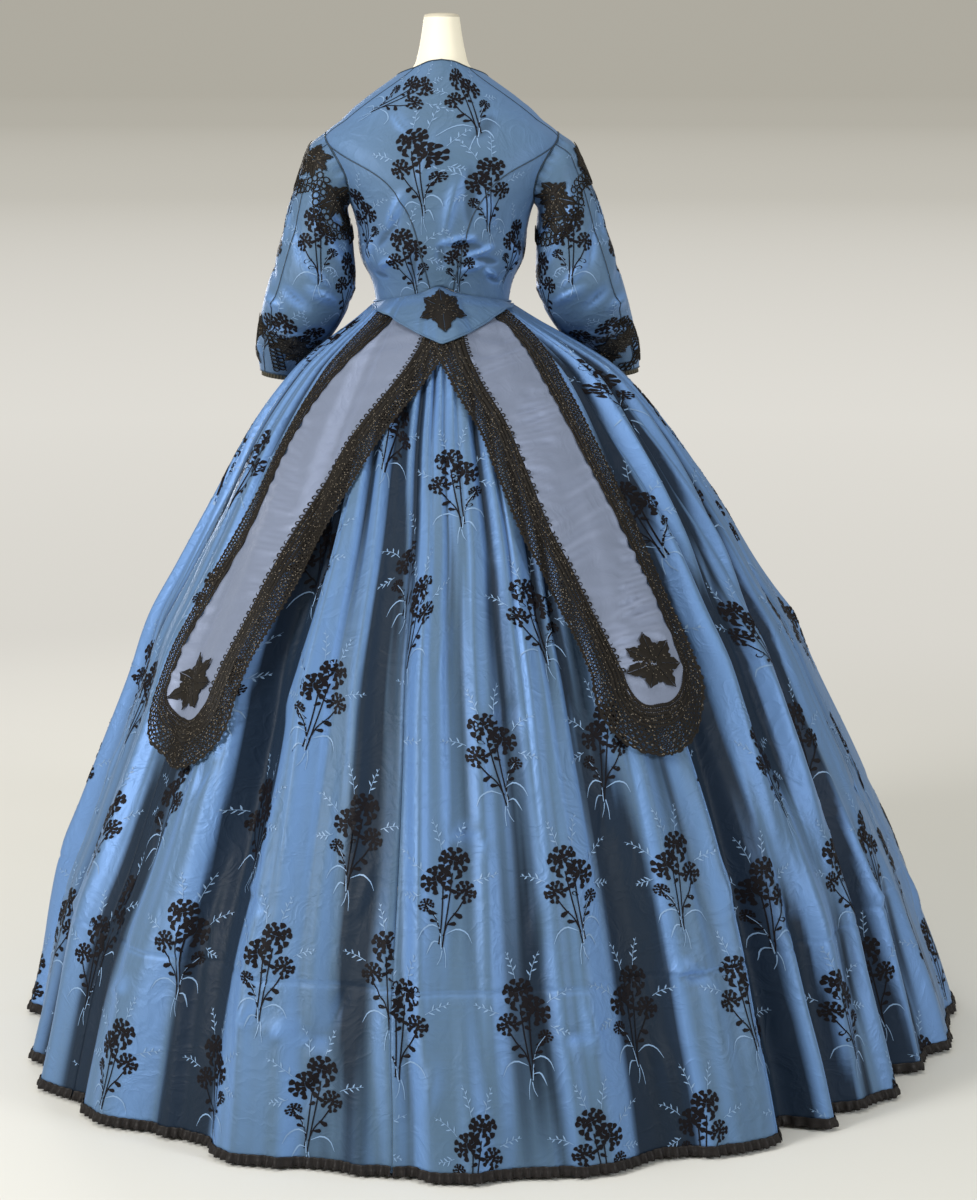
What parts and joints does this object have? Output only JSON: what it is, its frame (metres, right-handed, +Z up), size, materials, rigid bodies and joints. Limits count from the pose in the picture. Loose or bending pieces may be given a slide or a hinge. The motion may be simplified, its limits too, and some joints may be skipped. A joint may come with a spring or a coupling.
{
  "type": "victorian day dress on a limbless dress form",
  "caption": "Hooped-out day dress of brocaded silk with a fitted bodice, bent sleeves, pointed basque, lace-edged back tabs and a pleated floor-length skirt, on a dress form.",
  "frame": {"origin": "centre of the underside of the dress form's round base plate, on the floor under the body's axis", "axes": "+Z up, the dress faces -Y with its back towards +Y, +X is the wearer's left"},
  "size_m": [1.3678, 1.396, 1.442],
  "materials": {
    "brocade_silk": "crisp shot taffeta, slate blue with a vivid blue sheen, brocaded with black flower sprays and pale blue fronds",
    "button_silk": "silk-covered button",
    "plain_silk": "plain grey-lavender taffeta with fine cross wrinkles",
    "lace": "brown-black silk bobbin lace",
    "ribbon": "black box-pleated silk ribbon",
    "form_cover": "smooth cream cotton jersey cover",
    "stand_metal": "satin dark brown enamel"
  },
  "bodies": {
    "root": {"bodice_centre_back": "brocade_silk", "bodice_side_back_left": "brocade_silk", "bodice_side_back_right": "brocade_silk", "bodice_front_left": "brocade_silk", "bodice_front_right": "brocade_silk", "waist_piping": "brocade_silk", "basque": "brocade_silk", "basque_piping": "brocade_silk", "sleeve_upper_left": "brocade_silk", "sleeve_under_left": "brocade_silk", "sleeve_upper_right": "brocade_silk", "sleeve_under_right": "brocade_silk", "skirt_back_left": "brocade_silk", "skirt_back_right": "brocade_silk", "skirt_side_back_right": "brocade_silk", "skirt_side_right": "brocade_silk", "skirt_front_right": "brocade_silk", "skirt_front": "brocade_silk", "skirt_front_left": "brocade_silk", "skirt_side_left": "brocade_silk", "button_1": "button_silk", "button_2": "button_silk", "button_3": "button_silk", "button_4": "button_silk", "button_5": "button_silk", "button_6": "button_silk", "button_7": "button_silk", "hem_ruffle_back_left": "ribbon", "hem_ruffle_back_right": "ribbon", "hem_ruffle_side_back_right": "ribbon", "hem_ruffle_side_right": "ribbon", "hem_ruffle_front_right": "ribbon", "hem_ruffle_front": "ribbon", "hem_ruffle_front_left": "ribbon", "hem_ruffle_side_left": "ribbon", "wrist_frill_left": "ribbon", "wrist_frill_right": "ribbon", "tab_left": "plain_silk", "tab_right": "plain_silk", "tab_lace_left_inner": "lace", "tab_lace_left_end": "lace", "tab_lace_left_outer": "lace", "tab_lace_right_inner": "lace", "tab_lace_right_end": "lace", "tab_lace_right_outer": "lace", "tab_motif_left": "lace", "tab_motif_right": "lace", "basque_star": "lace", "epaulette_left": "lace", "epaulette_right": "lace", "cuff_lace_left": "lace", "cuff_lace_right": "lace", "form_torso": "form_cover", "form_pole": "stand_metal", "form_base": "stand_metal"}
  },
  "joints": []
}
